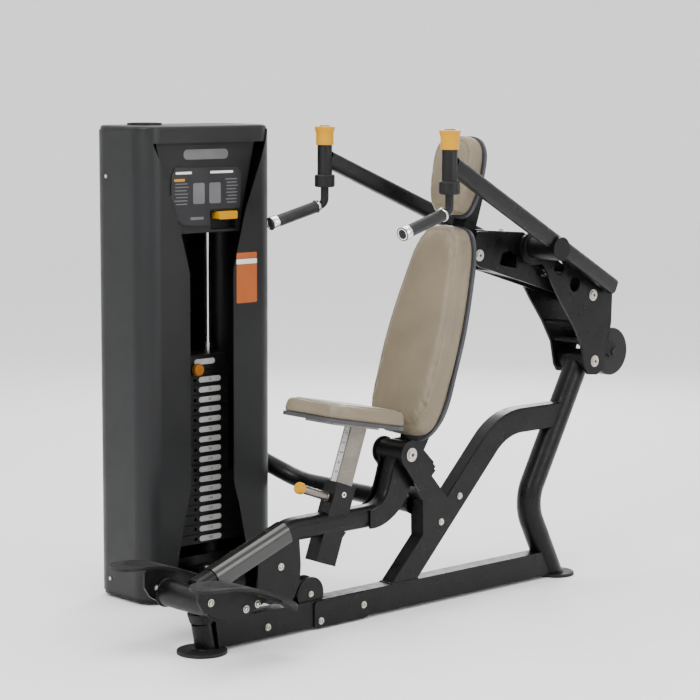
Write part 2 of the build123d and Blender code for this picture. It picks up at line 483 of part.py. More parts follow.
# ---------------------------------------------------------------- carriage
def make_carriage():
    end = CROSS_TUBE_HALF
    cross_bar = x_rod(CROSS_TUBE, CROSS_TUBE_RADIUS, -end, end)
    cross = cross_bar - x_rod(CROSS_TUBE, CROSS_TUBE_RADIUS - STEEL_WALL, -end - 5, end + 5)
    ring = x_rod(CROSS_TUBE, CROSS_TUBE_RADIUS + 4, end - 4, end)
    web = side_plate([(-110, 250), (-109, 178), (-92, 151), (-59, 130), (-17, 112), (36, 109), (71, 118),
                      (132, 146), (132, 250)], end, end + PLATE, corner=5)
    saddle = foot_profile(-9.0, -1.0) & span_box((end, 190), (-104, 126), (100, 260))
    web -= foot_profile(-7.0, 200.0)
    bracket = (ring - x_rod(CROSS_TUBE, CROSS_TUBE_RADIUS - STEEL_WALL, 0, end)) + web + saddle
    for centre in ((-66, 171), (57, 134), (98, 142)):
        bracket += bolt_x(centre, end + PLATE, 1, 7)
        if centre[0] < 0:
            bracket += bolt_x(centre, end, -1, 7)
    nodes["foot_cross_tube"] = cross + both_sides(bracket)

    slope = 0.363
    start = (0, -20, 185 - 24 * slope)
    knee = (0, 318, start[2] + 338 * slope)
    points = [start, knee, (0, 688, knee[2]), (0, *CARRIAGE_PIVOT)]
    outer = RectangleRounded(CARRIAGE_WIDTH, CARRIAGE_HEIGHT, 24)
    inner = RectangleRounded(CARRIAGE_WIDTH - 7, CARRIAGE_HEIGHT - 7, 20.5)
    carriage, carriage_bar = tube(points, [120, 90], outer, inner)
    run = hypot(338, 338 * slope)
    unit = (338 / run, 338 * slope / run)
    carriage += swept([start, (0, start[1] + 4 * unit[0], start[2] + 4 * unit[1])], None, outer)
    hub_bar = x_rod(CARRIAGE_PIVOT, 37, -53.5, 53.5)

    # seat sleeve: a square socket leaning to the rear, through the carriage tube
    lean = 90 - POST_LEAN
    socket_start = -234.0
    outer_pts = strip(POST_POINT, lean, socket_start, 0, -38, 38)
    sleeve_bar = side_plate(outer_pts, -25, 25)
    bore = side_plate(strip(POST_POINT, lean, socket_start - 5, 5, -31, 31), -16, 16)
    web_plate = side_plate([(487, 215), (535, 262), (500, 262), (478, 255)], -4, 4)
    pin_axis = along(POST_POINT, lean, -48)
    pin_angle = lean + 90
    barrel = rod_between(pin_axis, pin_angle, 36, 138, 12) - bore
    sleeve = sleeve_bar + (web_plate - carriage_bar - sleeve_bar) + barrel - bore
    nodes["seat_sleeve"] = sleeve - rod_between(pin_axis, pin_angle, 20, 150, 6.2)
    shank = rod_between(pin_axis, pin_angle, 32, 142, 6.0)
    knob = rod_between(pin_axis, pin_angle, 139, 161, 17)
    nodes["pull_pin"] = shank + fillet(knob.edges(), 6)
    lower = Spline((600, 267), (642, 270), (690, 290), (728, 320), (754, 358), (770, 404), (777, 470))
    upper = Spline((704, 470), (690, 420), (678, 384), (662, 352), (638, 330), (600, 322))
    flank = make_face([lower, Line(lower @ 1, upper @ 0), upper, Line(upper @ 1, lower @ 0)])
    flank = extrude(Plane.YZ.offset(29) * flank, 7)
    carriage += both_sides(flank)
    carriage -= cross_bar + sleeve_bar + hub_bar
    nodes["carriage_tube"] = carriage.solids().sort_by(SortBy.VOLUME)[-1]

    # glossy scuff guard over the sloping front of the tube
    a = (0, start[1] + 60 * unit[0], start[2] + 60 * unit[1])
    b = (0, start[1] + (run - 22) * unit[0], start[2] + (run - 22) * unit[1])
    guard = swept([a, b], None, RectangleRounded(CARRIAGE_WIDTH + 6, CARRIAGE_HEIGHT + 6, 27))
    guard -= swept([start, knee], None, RectangleRounded(CARRIAGE_WIDTH + 0.4, CARRIAGE_HEIGHT + 0.4, 24.2))
    angle = degrees(atan2(slope, 1))
    guard -= side_plate(strip((start[1], start[2]), angle, -20, 400, -70, -22), -80, 80)
    guard -= x_rod(CROSS_TUBE, CROSS_TUBE_RADIUS + GAP, -200, 200)
    nodes["scuff_guard"] = guard

    # plates that hold the cable pulley under the carriage
    gusset = side_plate([(178, 236), (176, 150), (206, 112), (262, 97), (306, 102), (332, 150), (336, 200), (330, 285)],
                        24, 30, corner=14)
    gussets = both_sides(gusset) + x_rod(CARRIAGE_PULLEY, 7.9, -24, 24)
    for side in (-1, 1):
        gussets += bolt_x(CARRIAGE_PULLEY, side * 30, side, 7)
    nodes["pulley_gussets"] = gussets - carriage_bar - guard
    nodes["carriage_pulley"] = pulley(CARRIAGE_PULLEY, 36, 11, 7.95)
    make_back_frame(hub_bar, carriage_bar)


def rod_between(point, angle, start, end, radius):
    """Round bar in the middle plane along a direction, between two distances from a point."""
    a, b = along(point, angle, start), along(point, angle, end)
    return swept([(0, *a), (0, *b)], None, Circle(radius))


def foot_profile(low, high):
    """Band that follows the curve of the foot plates, between two heights above their sole line."""
    curve = [(-196, 220), (-150, 226), (-90, 226), (-30, 218), (40, 196), (100, 172), (150, 146), (178, 118)]
    lower = Spline(*[(y, z + low) for y, z in curve])
    upper = Spline(*[(y, z + high) for y, z in reversed(curve)])
    ends = [Line(lower @ 1, upper @ 0), Line(upper @ 1, lower @ 0)]
    face = make_face([lower, ends[0], upper, ends[1]])
    return extrude(Plane.YZ.offset(CROSS_TUBE_HALF - 2) * face, 124)


def make_foot_plates():
    plan = Pos(175, 6) * RectangleRounded(114, 342, 54)
    plate = foot_profile(-1.0, 7.0) & extrude(Pos(0, 0, 50) * plan, 300)
    nodes["foot_plate_left"] = plate
    nodes["foot_plate_right"] = mirror(plate, Plane.YZ)


def make_back_frame(hub_bar, carriage_bar):
    lean = 90 - BACK_LEAN
    p, q = CARRIAGE_PIVOT, LINK_ON_CARRIAGE
    behind = -27.0
    upright = side_plate(strip(BACK_POINT, lean, -60, 700, behind - 25, behind + 25), -25, 25)
    upright -= side_plate(strip(BACK_POINT, lean, -40, 690, behind - 21, behind + 21), -21, 21)
    cheek = side_plate([(736, 479), (750, 508), (784, 511), (806, 576), (864, 604), (874, 560), (812, 462),
                        (780, 474)], 25, 33)
    lug = side_plate([(966, 1000), (q[0] - 4, q[1] - 26), (q[0] + 4, q[1] + 26), (988, 1080)], -25, 25)
    hub = x_rod(q, 27, -30, 30)
    frame = upright + both_sides(cheek) + lug + hub + hub_bar
    frame -= x_rod(p, AXLE_RADIUS + RUNNING, -90, 90)
    frame -= x_rod(q, 12 + OPEN_PIVOT_CLEARANCE, -90, 90)
    stay = side_plate([(1024, 1166), (1046, 1236), (1040, 1300), (1022, 1310), (1012, 1262), (998, 1180)], -20, 20)
    frame += stay
    nodes["back_frame"] = frame


def pad_outline(points, inset=0.0):
    """Closed smooth outline, mirrored about the pad's centre line; points are (half width, height)."""
    middle = (points[0][1] + points[-1][1]) / 2
    half = (points[-1][1] - points[0][1]) / 2
    widest = max(w for w, _ in points)
    right = [(w * (1 - inset / widest), middle + (s - middle) * (1 - inset / half)) for w, s in points]
    left = [(-w, s) for w, s in reversed(right[1:-1])]
    return make_face(Spline(*(right + left), periodic=True))


def leaning_plane(point, lean):
    """Plane of a rest: local x along X, local y up the rest, normal towards the user."""
    return Plane(origin=(0, point[0], point[1]), x_dir=(1, 0, 0), z_dir=(0, -cos(radians(lean)), sin(radians(lean))))


def make_pads():
    back = [(0, -48), (92, -40), (131, 20), (141, 130), (140, 270), (125, 410), (103, 520), (64, 582), (0, 594)]
    back_plane = leaning_plane(BACK_POINT, BACK_LEAN)
    outline = pad_outline(back)
    shell = extrude(back_plane * outline, 11)
    cushion = extrude(back_plane.offset(11) * pad_outline(back, 3), 62)
    head = [(0, -134), (54, -126), (82, -70), (90, 10), (82, 70), (50, 104), (0, 110)]
    head_plane = leaning_plane(HEAD_POINT, HEAD_LEAN)
    head_outline = pad_outline(head)
    head_shell = extrude(head_plane * head_outline, 10)
    head_cushion = extrude(head_plane.offset(10) * pad_outline(head, 3), 52)
    nodes["pad_shells"] = Compound([shell, head_shell])
    nodes["back_frame"] = nodes["back_frame"] - shell - head_shell
    nodes["back_pad"] = cushion
    nodes["head_pad"] = head_cushion


def make_seat():
    lean = 90 - POST_LEAN
    top = 172.0
    post = side_plate(strip(POST_POINT, lean, -190, top, -30.2, 30.2), -15.2, 15.2)
    front_y, front_z, rear_y, rear_z = 374.0, 612.0, 678.0, 554.0
    angle = degrees(atan2(rear_z - front_z, rear_y - front_y))
    length = hypot(rear_y - front_y, rear_z - front_z)
    board_half = 132.0
    plane = Plane(origin=(0, front_y, front_z), x_dir=(1, 0, 0), z_dir=(0, -sin(radians(angle)), cos(radians(angle))))
    plan = Pos(0, length / 2) * RectangleRounded(2 * board_half, length, 66)
    board = extrude(plane * plan, 11)
    cushion = extrude(plane.offset(11) * offset(plan, -3), 44)
    below = side_plate(strip((front_y, front_z), angle, -50, length + 50, 0, 200), -200, 200)
    # the post stops at the seat's bracket, and the bracket's rails carry the board
    rails = side_plate(strip((front_y, front_z), angle, 60, 240, -8, 0), -60, 60)
    nodes["seat_post"] = (post - below) + (rails - side_plate(strip((front_y, front_z), angle, 0, 400, 0, 40), -90, 90))
    nodes["seat_board"] = board
    nodes["seat_pad"] = cushion


# ---------------------------------------------------------------- fasteners on the fixed frame
def make_fasteners():
    near = BEAM_WIDTH / 2
    bolts = []
    for side in (-1, 1):
        bolts.append(bolt_x((216, 39), side * near, side))
        bolts.append(bolt_x((579, 45), side * (near + 5), side))
        for across in (-30, 74):
            centre = along(CARRIAGE_PIVOT, BRACKET_ANGLE, 276, across)
            bolts.append(bolt_x(centre, side * near, side))
        bolts.append(bolt_x(GUARD_CENTRE, side * 19, side, 6))
    bolts.append(bolt_x((412, 25), near + 5, 1))
    top = z_rod(-522, 441, 8, 86, 91) + z_rod(-522, 441, 11, 86, 87.5)
    bolts.append(top)
    front_face = TOWER_MID_Y - TOWER_LENGTH / 2
    rear_face = TOWER_MID_Y + TOWER_LENGTH / 2
    for z in (60, 1274):
        for y, sign in ((front_face, -1), (rear_face, 1)):
            screw = Pos(-682, y + sign * 1.4, z) * Rot(90, 0, 0) * Cylinder(6, 2.8)
            bolts.append(screw)
    nodes["frame_bolts"] = Compound(bolts)


def make_all():
    beam_bar = make_base()
    diagonal_bar = make_rear_frame(beam_bar)
    make_pivot_bracket(diagonal_bar)
    make_brace()
    make_tower()
    make_stack()
    make_press_arm()
    make_handles()
    make_link()
    make_carriage()
    make_foot_plates()
    make_pads()
    make_seat()
    make_fasteners()


make_all()
extent = Compound([s for n in nodes.values() for s in n.solids()]).bounding_box()
SHIFT = (-(extent.min.X + extent.max.X) / 2, -(extent.min.Y + extent.max.Y) / 2, -extent.min.Z)
os.makedirs("parts", exist_ok=True)
for name, shape in nodes.items():
    export_step(Pos(*SHIFT) * shape, "parts/" + name + ".step")
print("size", extent.size, "shift", SHIFT, "nodes", len(nodes))
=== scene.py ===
import json
import math
import bmesh
import bpy
import numpy as np
from mathutils import Matrix, Vector
from mathutils.bvhtree import BVHTree


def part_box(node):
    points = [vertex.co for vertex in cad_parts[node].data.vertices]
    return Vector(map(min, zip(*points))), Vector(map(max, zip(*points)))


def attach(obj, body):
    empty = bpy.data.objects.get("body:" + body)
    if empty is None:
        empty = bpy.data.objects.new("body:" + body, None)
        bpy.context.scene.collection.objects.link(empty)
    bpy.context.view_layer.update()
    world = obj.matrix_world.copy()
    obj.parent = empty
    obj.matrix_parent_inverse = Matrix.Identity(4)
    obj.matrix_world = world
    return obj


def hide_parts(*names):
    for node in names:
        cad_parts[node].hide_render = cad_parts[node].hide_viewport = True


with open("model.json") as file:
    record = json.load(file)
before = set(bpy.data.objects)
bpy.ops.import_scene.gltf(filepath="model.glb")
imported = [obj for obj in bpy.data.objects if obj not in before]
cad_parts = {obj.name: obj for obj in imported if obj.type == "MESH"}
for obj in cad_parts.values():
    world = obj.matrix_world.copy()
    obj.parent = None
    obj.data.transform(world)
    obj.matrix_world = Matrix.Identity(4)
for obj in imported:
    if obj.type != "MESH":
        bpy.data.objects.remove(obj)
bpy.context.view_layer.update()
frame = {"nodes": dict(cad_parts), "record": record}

MM = 0.001
NODES = frame["nodes"]

# the working origin, the centre of the front foot, in the row frame
low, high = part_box("front_bumper")
ORIGIN = Vector(((low[0] + high[0]) / 2, (low[1] + high[1]) / 2 + 3 * MM, 0.0))


def at(x, y, z):
    """Point given in millimetres from the working origin, in metres in the row frame."""
    return ORIGIN + Vector((x, y, z)) * MM


# ---------------------------------------------------------------- materials
def set_input(shader, name, value):
    if name in shader.inputs:
        shader.inputs[name].default_value = value


def new_material(name, rough, metallic=0.0, **extra):
    mat = bpy.data.materials.new(name)
    mat.use_nodes = True
    tree = mat.node_tree
    shader = tree.nodes["Principled BSDF"]
    set_input(shader, "Roughness", rough)
    set_input(shader, "Metallic", metallic)
    for key, value in extra.items():
        set_input(shader, key.replace("_", " "), value)
    coords = tree.nodes.new("ShaderNodeTexCoord")
    return mat, tree, shader, coords


def noise(tree, coords, scale, detail=3.0, stretch=(1, 1, 1)):
    mapping = tree.nodes.new("ShaderNodeMapping")
    mapping.inputs["Scale"].default_value = stretch
    tree.links.new(coords.outputs["Object"], mapping.inputs["Vector"])
    node = tree.nodes.new("ShaderNodeTexNoise")
    node.inputs["Scale"].default_value = scale
    node.inputs["Detail"].default_value = detail
    tree.links.new(mapping.outputs["Vector"], node.inputs["Vector"])
    return node.outputs["Fac"]


def spread(tree, value, low, high, lo_in=0.35, hi_in=0.65):
    node = tree.nodes.new("ShaderNodeMapRange")
    for key, number in (("From Min", lo_in), ("From Max", hi_in), ("To Min", low), ("To Max", high)):
        node.inputs[key].default_value = number
    tree.links.new(value, node.inputs["Value"])
    return node.outputs["Result"]


def two_tones(tree, value, dark, light, lo_in=0.35, hi_in=0.65):
    ramp = tree.nodes.new("ShaderNodeValToRGB")
    ramp.color_ramp.elements[0].position = lo_in
    ramp.color_ramp.elements[1].position = hi_in
    ramp.color_ramp.elements[0].color = (*dark, 1)
    ramp.color_ramp.elements[1].color = (*light, 1)
    tree.links.new(value, ramp.inputs["Fac"])
    return ramp.outputs["Color"]


def bump(tree, shader, value, strength, distance, under=None):
    node = tree.nodes.new("ShaderNodeBump")
    node.inputs["Strength"].default_value = strength
    node.inputs["Distance"].default_value = distance
    tree.links.new(value, node.inputs["Height"])
    if under:
        tree.links.new(under, node.inputs["Normal"])
    tree.links.new(node.outputs["Normal"], shader.inputs["Normal"])
    return node.outputs["Normal"]


def tone(colour, k):
    return tuple(min(1.0, c * k) for c in colour)


def grained(name, colour, rough, rough_swing=0.08, variety=0.12, grain=1400, depth=0.00012, strength=0.35,
            metallic=0.0, patches=14, stretch=(1, 1, 1), **extra):
    """Base material: patchy colour, uneven roughness and a fine surface grain."""
    mat, tree, shader, coords = new_material(name, rough, metallic, **extra)
    blotch = noise(tree, coords, patches, 4)
    patchy = two_tones(tree, blotch, tone(colour, 1 - variety), tone(colour, 1 + variety))
    tree.links.new(patchy, shader.inputs["Base Color"])
    smudge = noise(tree, coords, patches * 3.1, 5, stretch)
    tree.links.new(spread(tree, smudge, rough - rough_swing, rough + rough_swing), shader.inputs["Roughness"])
    fine = noise(tree, coords, grain, 2, stretch)
    bump(tree, shader, fine, strength, depth)
    return mat


def leather(name, colour):
    """Vinyl: fine pebbled grain over soft waves, with slightly darker valleys."""
    mat, tree, shader, coords = new_material(name, 0.46, 0.0, Sheen_Weight=0.12, Sheen_Roughness=0.4)
    cells = tree.nodes.new("ShaderNodeTexVoronoi")
    cells.feature = "DISTANCE_TO_EDGE"
    cells.inputs["Scale"].default_value = 620
    tree.links.new(coords.outputs["Object"], cells.inputs["Vector"])
    valley = spread(tree, cells.outputs["Distance"], 0, 1, 0.0, 0.22)
    blotch = noise(tree, coords, 9, 5)
    base = two_tones(tree, blotch, tone(colour, 0.9), tone(colour, 1.08))
    mix = tree.nodes.new("ShaderNodeMix")
    mix.data_type = "RGBA"
    mix.blend_type = "MULTIPLY"
    mix.inputs["Factor"].default_value = 0.35
    tree.links.new(base, mix.inputs["A"])
    tree.links.new(two_tones(tree, valley, (0.72, 0.7, 0.68), (1, 1, 1), 0.0, 0.7), mix.inputs["B"])
    tree.links.new(mix.outputs["Result"], shader.inputs["Base Color"])
    tree.links.new(spread(tree, noise(tree, coords, 30, 4), 0.4, 0.54), shader.inputs["Roughness"])
    soft = bump(tree, shader, noise(tree, coords, 60, 3), 0.15, 0.0012)
    bump(tree, shader, valley, 0.30, 0.00018, soft)
    return mat


MATS = {
    "frame_paint": grained("powder_coat_black", (0.0035, 0.0035, 0.004), 0.34, 0.07, 0.3, 1500, 0.00016, 0.5,
                           Specular_IOR_Level=0.2),
    "housing_paint": grained("powder_coat_satin", (0.005, 0.005, 0.0055), 0.42, 0.06, 0.25, 1700, 0.0001, 0.4,
                             Specular_IOR_Level=0.25),
    "foot_rubber": grained("moulded_rubber", (0.009, 0.009, 0.0095), 0.6, 0.08, 0.3, 900, 0.0003, 0.4,
                           Specular_IOR_Level=0.25),
    "shroud_plastic": grained("charcoal_plastic", (0.0085, 0.0088, 0.0095), 0.40, 0.05, 0.12, 1200, 0.0001,
                              0.35, patches=5, Specular_IOR_Level=0.3),
    "placard_print": grained("placard_plastic", (0.022, 0.022, 0.024), 0.35, 0.05, 0.1, 800, 0.00005, 0.2,
                             Specular_IOR_Level=0.3),
    "shell_plastic": grained("shell_plastic", (0.03, 0.032, 0.038), 0.5, 0.06, 0.15, 1000, 0.0002, 0.5),
    "vinyl": leather("taupe_vinyl", (0.158, 0.126, 0.080)),
    "yellow_plastic": grained("yellow_plastic", (0.50, 0.235, 0.0), 0.38, 0.06, 0.07, 600, 0.0001, 0.2,
                              Specular_IOR_Level=0.2),
    "amber_knob": grained("amber_plastic", (0.30, 0.10, 0.0), 0.28, 0.05, 0.12, 500, 0.0001, 0.2,
                          Specular_IOR_Level=0.3),
    "gloss_guard": grained("gloss_guard", (0.008, 0.007, 0.006), 0.2, 0.06, 0.2, 300, 0.0001, 0.15,
                           Coat_Weight=0.35, Coat_Roughness=0.08),
    "chrome": grained("chrome_plate", (0.75, 0.76, 0.78), 0.10, 0.05, 0.04, 700, 0.00003, 0.1, metallic=1.0),
    "steel": grained("zinc_steel", (0.56, 0.53, 0.47), 0.28, 0.09, 0.12, 900, 0.00008, 0.3, metallic=1.0),
    "grip_rubber": grained("knurled_grip", (0.008, 0.008, 0.0085), 0.45, 0.08, 0.3, 1200, 0.0002, 0.5,
                           Specular_IOR_Level=0.35),
    "plate_paint": grained("plate_enamel", (0.007, 0.007, 0.0075), 0.38, 0.09, 0.3, 700, 0.00025, 0.5,
                           Specular_IOR_Level=0.25),
    "pulley_plastic": grained("nylon_black", (0.008, 0.008, 0.009), 0.45, 0.06, 0.15, 800, 0.0001, 0.3,
                              Specular_IOR_Level=0.3),
}
LABEL_GREY = grained("label_grey", (0.42, 0.42, 0.41), 0.45, 0.05, 0.08, 500, 0.00005, 0.2)
# label ink, also used for the painted shade in the bolt sockets
INK_AND_SOCKET_SHADE = grained("label_ink_and_socket_shade", (0.008, 0.008, 0.01), 0.5, 0.05, 0.1, 500, 0.00003, 0.1)
SILVER_STRIP = grained("silver_strip", (0.62, 0.62, 0.62), 0.32, 0.07, 0.06, 900, 0.00005, 0.2, metallic=0.7,
                       stretch=(1, 1, 12))
WHITE = grained("label_white", (0.72, 0.72, 0.70), 0.5, 0.05, 0.06, 500, 0.00005, 0.2)
PRINT_GREY = grained("print_grey", (0.11, 0.11, 0.115), 0.45, 0.05, 0.1, 500, 0.00003, 0.1)
ORANGE = grained("label_orange", (0.36, 0.075, 0.003), 0.5, 0.05, 0.08, 500, 0.00005, 0.2)
THREAD = grained("seam_thread", (0.16, 0.13, 0.085), 0.7, 0.05, 0.15, 1500, 0.0002, 0.4)
POST_STEEL = grained("post_steel", (0.20, 0.18, 0.155), 0.33, 0.09, 0.15, 900, 0.00008, 0.3, metallic=0.9,
                     stretch=(1, 1, 14))


def dress(obj, mat):
    """Gives every material slot of an object one material."""
    if not obj.data.materials:
        obj.data.materials.append(mat)
    for i in range(len(obj.material_slots)):
        obj.material_slots[i].link = "OBJECT"
        obj.material_slots[i].material = mat


OWN_LOOK = {"seat_post": POST_STEEL}
for entry in frame["record"]["subparts"]:
    node = entry["node"]
    dress(NODES[node], OWN_LOOK.get(node, MATS.get(entry["material_slot"])))


# ---------------------------------------------------------------- mesh helpers
def make_object(name, verts, faces, mat, body, smooth=True):
    mesh = bpy.data.meshes.new(name)
    mesh.from_pydata([tuple(v) for v in verts], [], faces)
    mesh.validate()
    obj = bpy.data.objects.new(name, mesh)
    bpy.context.scene.collection.objects.link(obj)
    if smooth:
        mesh.shade_smooth()
    tidy_normals(mesh)
    mesh.materials.append(mat)
    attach(obj, body)
    return obj


def tidy_normals(mesh):
    work = bmesh.new()
    work.from_mesh(mesh)
    bmesh.ops.recalc_face_normals(work, faces=work.faces)
    work.to_mesh(mesh)
    work.free()


def crease(obj, degrees=35):
    """Smooth shading with sharp edges kept."""
    obj.data.set_sharp_from_angle(angle=math.radians(degrees))


def lathe(profile, steps, shape=None):
    """A profile (radius, height) turned about Z, as vertices and faces. shape(angle, height) scales it."""
    verts, faces = [], []
    count = len(profile)
    for i in range(steps):
        angle = 2 * math.pi * i / steps
        for r, z in profile:
            k = shape(angle, z) if shape else 1.0
            verts.append(Vector((r * k * math.cos(angle), r * k * math.sin(angle), z)))
    for i in range(steps):
        j = (i + 1) % steps
        for k in range(count - 1):
            faces.append((i * count + k, j * count + k, j * count + k + 1, i * count + k + 1))
    faces.append([i * count for i in range(steps)][::-1])
    faces.append([i * count + count - 1 for i in range(steps)])
    return verts, faces


def frame_along(origin, direction):
    """Matrix that stands local Z along a direction at a point."""
    return Matrix.Translation(origin) @ Vector(direction).to_track_quat("Z", "Y").to_matrix().to_4x4()


def tube_mesh(points, radius, sides=8, closed=True, wobble=None):
    """Tube round a line of points, capped when it is open."""
    verts, faces = [], []
    n = len(points)
    for i, p in enumerate(points):
        before = points[(i - 1) % n] if closed or i else points[0]
        after = points[(i + 1) % n] if closed or i < n - 1 else points[-1]
        along = (after - before).normalized()
        side = along.cross(Vector((0.13, 0.21, 0.97))).normalized()
        up = side.cross(along)
        r = radius * (wobble(i) if wobble else 1.0)
        for k in range(sides):
            t = 2 * math.pi * k / sides
            verts.append(p + (side * math.cos(t) + up * math.sin(t)) * r)
    for i in range(n if closed else n - 1):
        j = (i + 1) % n
        for k in range(sides):
            m = (k + 1) % sides
            faces.append((i * sides + k, j * sides + k, j * sides + m, i * sides + m))
    if not closed:
        faces.append(tuple(range(sides))[::-1])
        faces.append(tuple((n - 1) * sides + k for k in range(sides)))
    return verts, faces


class Batch:
    """Collects small shapes into one mesh."""

    def __init__(self):
        self.verts, self.faces = [], []

    def add(self, verts, faces):
        start = len(self.verts)
        self.verts += list(verts)
        self.faces += [tuple(start + i for i in f) for f in faces]

    def build(self, name, mat, body, slot, smooth=True, sharp=35):
        obj = make_object(name, self.verts, self.faces, mat, body, smooth)
        if smooth:
            crease(obj, sharp)
        return obj


def plaque(corners, normal, thickness, bevel):
    """Thin raised plate on a face: a closed outline with a bevelled rim."""
    n = Vector(normal)
    centre = sum(corners, Vector()) / len(corners)
    verts = [c.copy() for c in corners] + [c + n * (thickness - bevel) for c in corners]
    verts += [c + (centre - c).normalized() * bevel + n * thickness for c in corners]
    count = len(corners)
    faces = [tuple(range(count))[::-1], tuple(range(2 * count, 3 * count))]
    for ring in range(2):
        for i in range(count):
            j = (i + 1) % count
            faces.append((ring * count + i, ring * count + j, (ring + 1) * count + j, (ring + 1) * count + i))
    return verts, faces


def rounded(width, height, radius, steps=6):
    """Outline of a rounded rectangle about the origin."""
    points = []
    for cx, cy, start in ((1, 1, 0), (-1, 1, 90), (-1, -1, 180), (1, -1, 270)):
        for i in range(steps + 1):
            t = math.radians(start + 90 * i / steps)
            points.append((cx * (width / 2 - radius) + radius * math.cos(t),
                           cy * (height / 2 - radius) + radius * math.sin(t)))
    return points


def on_side(x, y, z, width, height, radius, thickness=0.6, bevel=0.25):
    """Rounded plaque on a face that looks along +X; sizes in millimetres."""
    corners = [at(x, y + u, z + v) for u, v in rounded(width, height, radius)]
    return plaque(corners, (1, 0, 0), thickness * MM, bevel * MM)


# ---------------------------------------------------------------- cushions
def closed_curve(points, count):
    """Smooth closed line through the points (Catmull-Rom), evenly sampled."""
    n = len(points)
    dense = []
    for i in range(n):
        p0, p1, p2, p3 = (np.array(points[(i + k) % n], float) for k in (-1, 0, 1, 2))
        for t in np.linspace(0, 1, 40, endpoint=False):
            dense.append(0.5 * (2 * p1 + (p2 - p0) * t + (2 * p0 - 5 * p1 + 4 * p2 - p3) * t * t
                                + (3 * p1 - p0 - 3 * p2 + p3) * t ** 3))
    return resample(np.array(dense), count)


def resample(line, count):
    loop = np.vstack([line, line[:1]])
    step = np.linalg.norm(np.diff(loop, axis=0), axis=1)
    run = np.concatenate([[0], np.cumsum(step)])
    want = np.linspace(0, run[-1], count, endpoint=False)
    return np.stack([np.interp(want, run, loop[:, k]) for k in range(2)], axis=1)


def inset(line, distance):
    """The line moved towards its inside."""
    ahead, behind = np.roll(line, -1, axis=0), np.roll(line, 1, axis=0)
    tangent = ahead - behind
    tangent /= np.linalg.norm(tangent, axis=1)[:, None]
    normal = np.stack([-tangent[:, 1], tangent[:, 0]], axis=1)
    middle = line.mean(axis=0)
    if ((middle - line) * normal).sum() < 0:
        normal = -normal
    return line + normal * distance


def rest_matrix(origin, up, out):
    """Matrix with local x along X, local y along up and local z along out."""
    side = Vector((1, 0, 0))
    m = Matrix((side, Vector(up).normalized(), Vector(out).normalized())).transposed().to_4x4()
    return Matrix.Translation(origin) @ m


def cushion_mesh(line, depth, crown, edge):
    """Closed pad in its own plane, millimetres: upright sides, a rounded edge and a crowned face."""
    rings = [(inset(line, 3.0), 0.0), (inset(line, 0.6), 2.5)]
    rings += [(line, depth * 0.35), (inset(line, 0.4), depth - edge)]
    for t in (30, 55, 75, 90):
        a = math.radians(t)
        rings.append((inset(line, 0.4 + edge * (1 - math.cos(a))), depth - edge + edge * math.sin(a)))
    last = rings[-1][0]
    middle = last.mean(axis=0)
    for k in (0.85, 0.68, 0.5, 0.32, 0.15):
        rings.append((middle + (last - middle) * k, depth + crown * (1 - k * k)))
    n = len(line)
    verts = [Vector((*p, z)) for ring, z in rings for p in ring]
    faces = [tuple(range(n))[::-1]]
    for r in range(len(rings) - 1):
        for i in range(n):
            j = (i + 1) % n
            faces.append((r * n + i, r * n + j, (r + 1) * n + j, (r + 1) * n + i))
    top = len(verts)
    verts.append(Vector((*middle, depth + crown)))
    for i in range(n):
        faces.append(((len(rings) - 1) * n + i, (len(rings) - 1) * n + (i + 1) % n, top))
    return verts, faces


def apply_modifiers(obj):
    graph = bpy.context.evaluated_depsgraph_get()
    mesh = bpy.data.meshes.new_from_object(obj.evaluated_get(graph))
    obj.modifiers.clear()
    old = obj.data
    obj.data = mesh
    bpy.data.meshes.remove(old)


def swell(obj, cap, voxel=5.0):
    """Cloth pass: the skin is blown up a little, with its back held flat.

    No point moves more than cap millimetres.
    """
    flat_back, frames = 6 * MM, 20
    remesh = obj.modifiers.new("remesh", "REMESH")
    remesh.mode = "VOXEL"
    remesh.voxel_size = voxel * MM
    apply_modifiers(obj)
    rest = np.array([v.co for v in obj.data.vertices])
    held = obj.vertex_groups.new(name="held")
    held.add([i for i, p in enumerate(rest) if p[2] < flat_back], 1.0, "REPLACE")
    cloth = obj.modifiers.new("cloth", "CLOTH")
    cloth.settings.quality = 4
    cloth.settings.mass = 0.25
    cloth.settings.tension_stiffness = 18
    cloth.settings.compression_stiffness = 18
    cloth.settings.bending_stiffness = 1.2
    cloth.settings.use_pressure = True
    cloth.settings.uniform_pressure_force = 4.0
    cloth.settings.effector_weights.gravity = 0
    cloth.settings.vertex_group_mass = "held"
    cloth.collision_settings.use_collision = False
    cloth.point_cache.frame_end = frames
    scene = bpy.context.scene
    for moment in range(1, frames + 1):
        scene.frame_set(moment)
    apply_modifiers(obj)
    moved = np.array([v.co for v in obj.data.vertices]) - rest
    far = np.linalg.norm(moved, axis=1)
    limit = cap * MM
    moved *= (np.minimum(far, limit * np.tanh(far / limit)) / np.maximum(far, 1e-9))[:, None]
    for vertex, start, step in zip(obj.data.vertices, rest, moved):
        vertex.co = Vector(start + step)
    scene.frame_set(1)
    obj.vertex_groups.clear()


def press_groove(obj, line, depth, width, floor):
    """Sewn channel: the face dips along a closed line."""
    tree_points = np.array(line)
    for vertex in obj.data.vertices:
        if vertex.co.z < floor * MM:
            continue
        p = np.array(vertex.co)[:2] / MM
        gap = np.sqrt(((tree_points - p) ** 2).sum(axis=1).min())
        vertex.co.z -= depth * MM * math.exp(-(gap / width) ** 2)


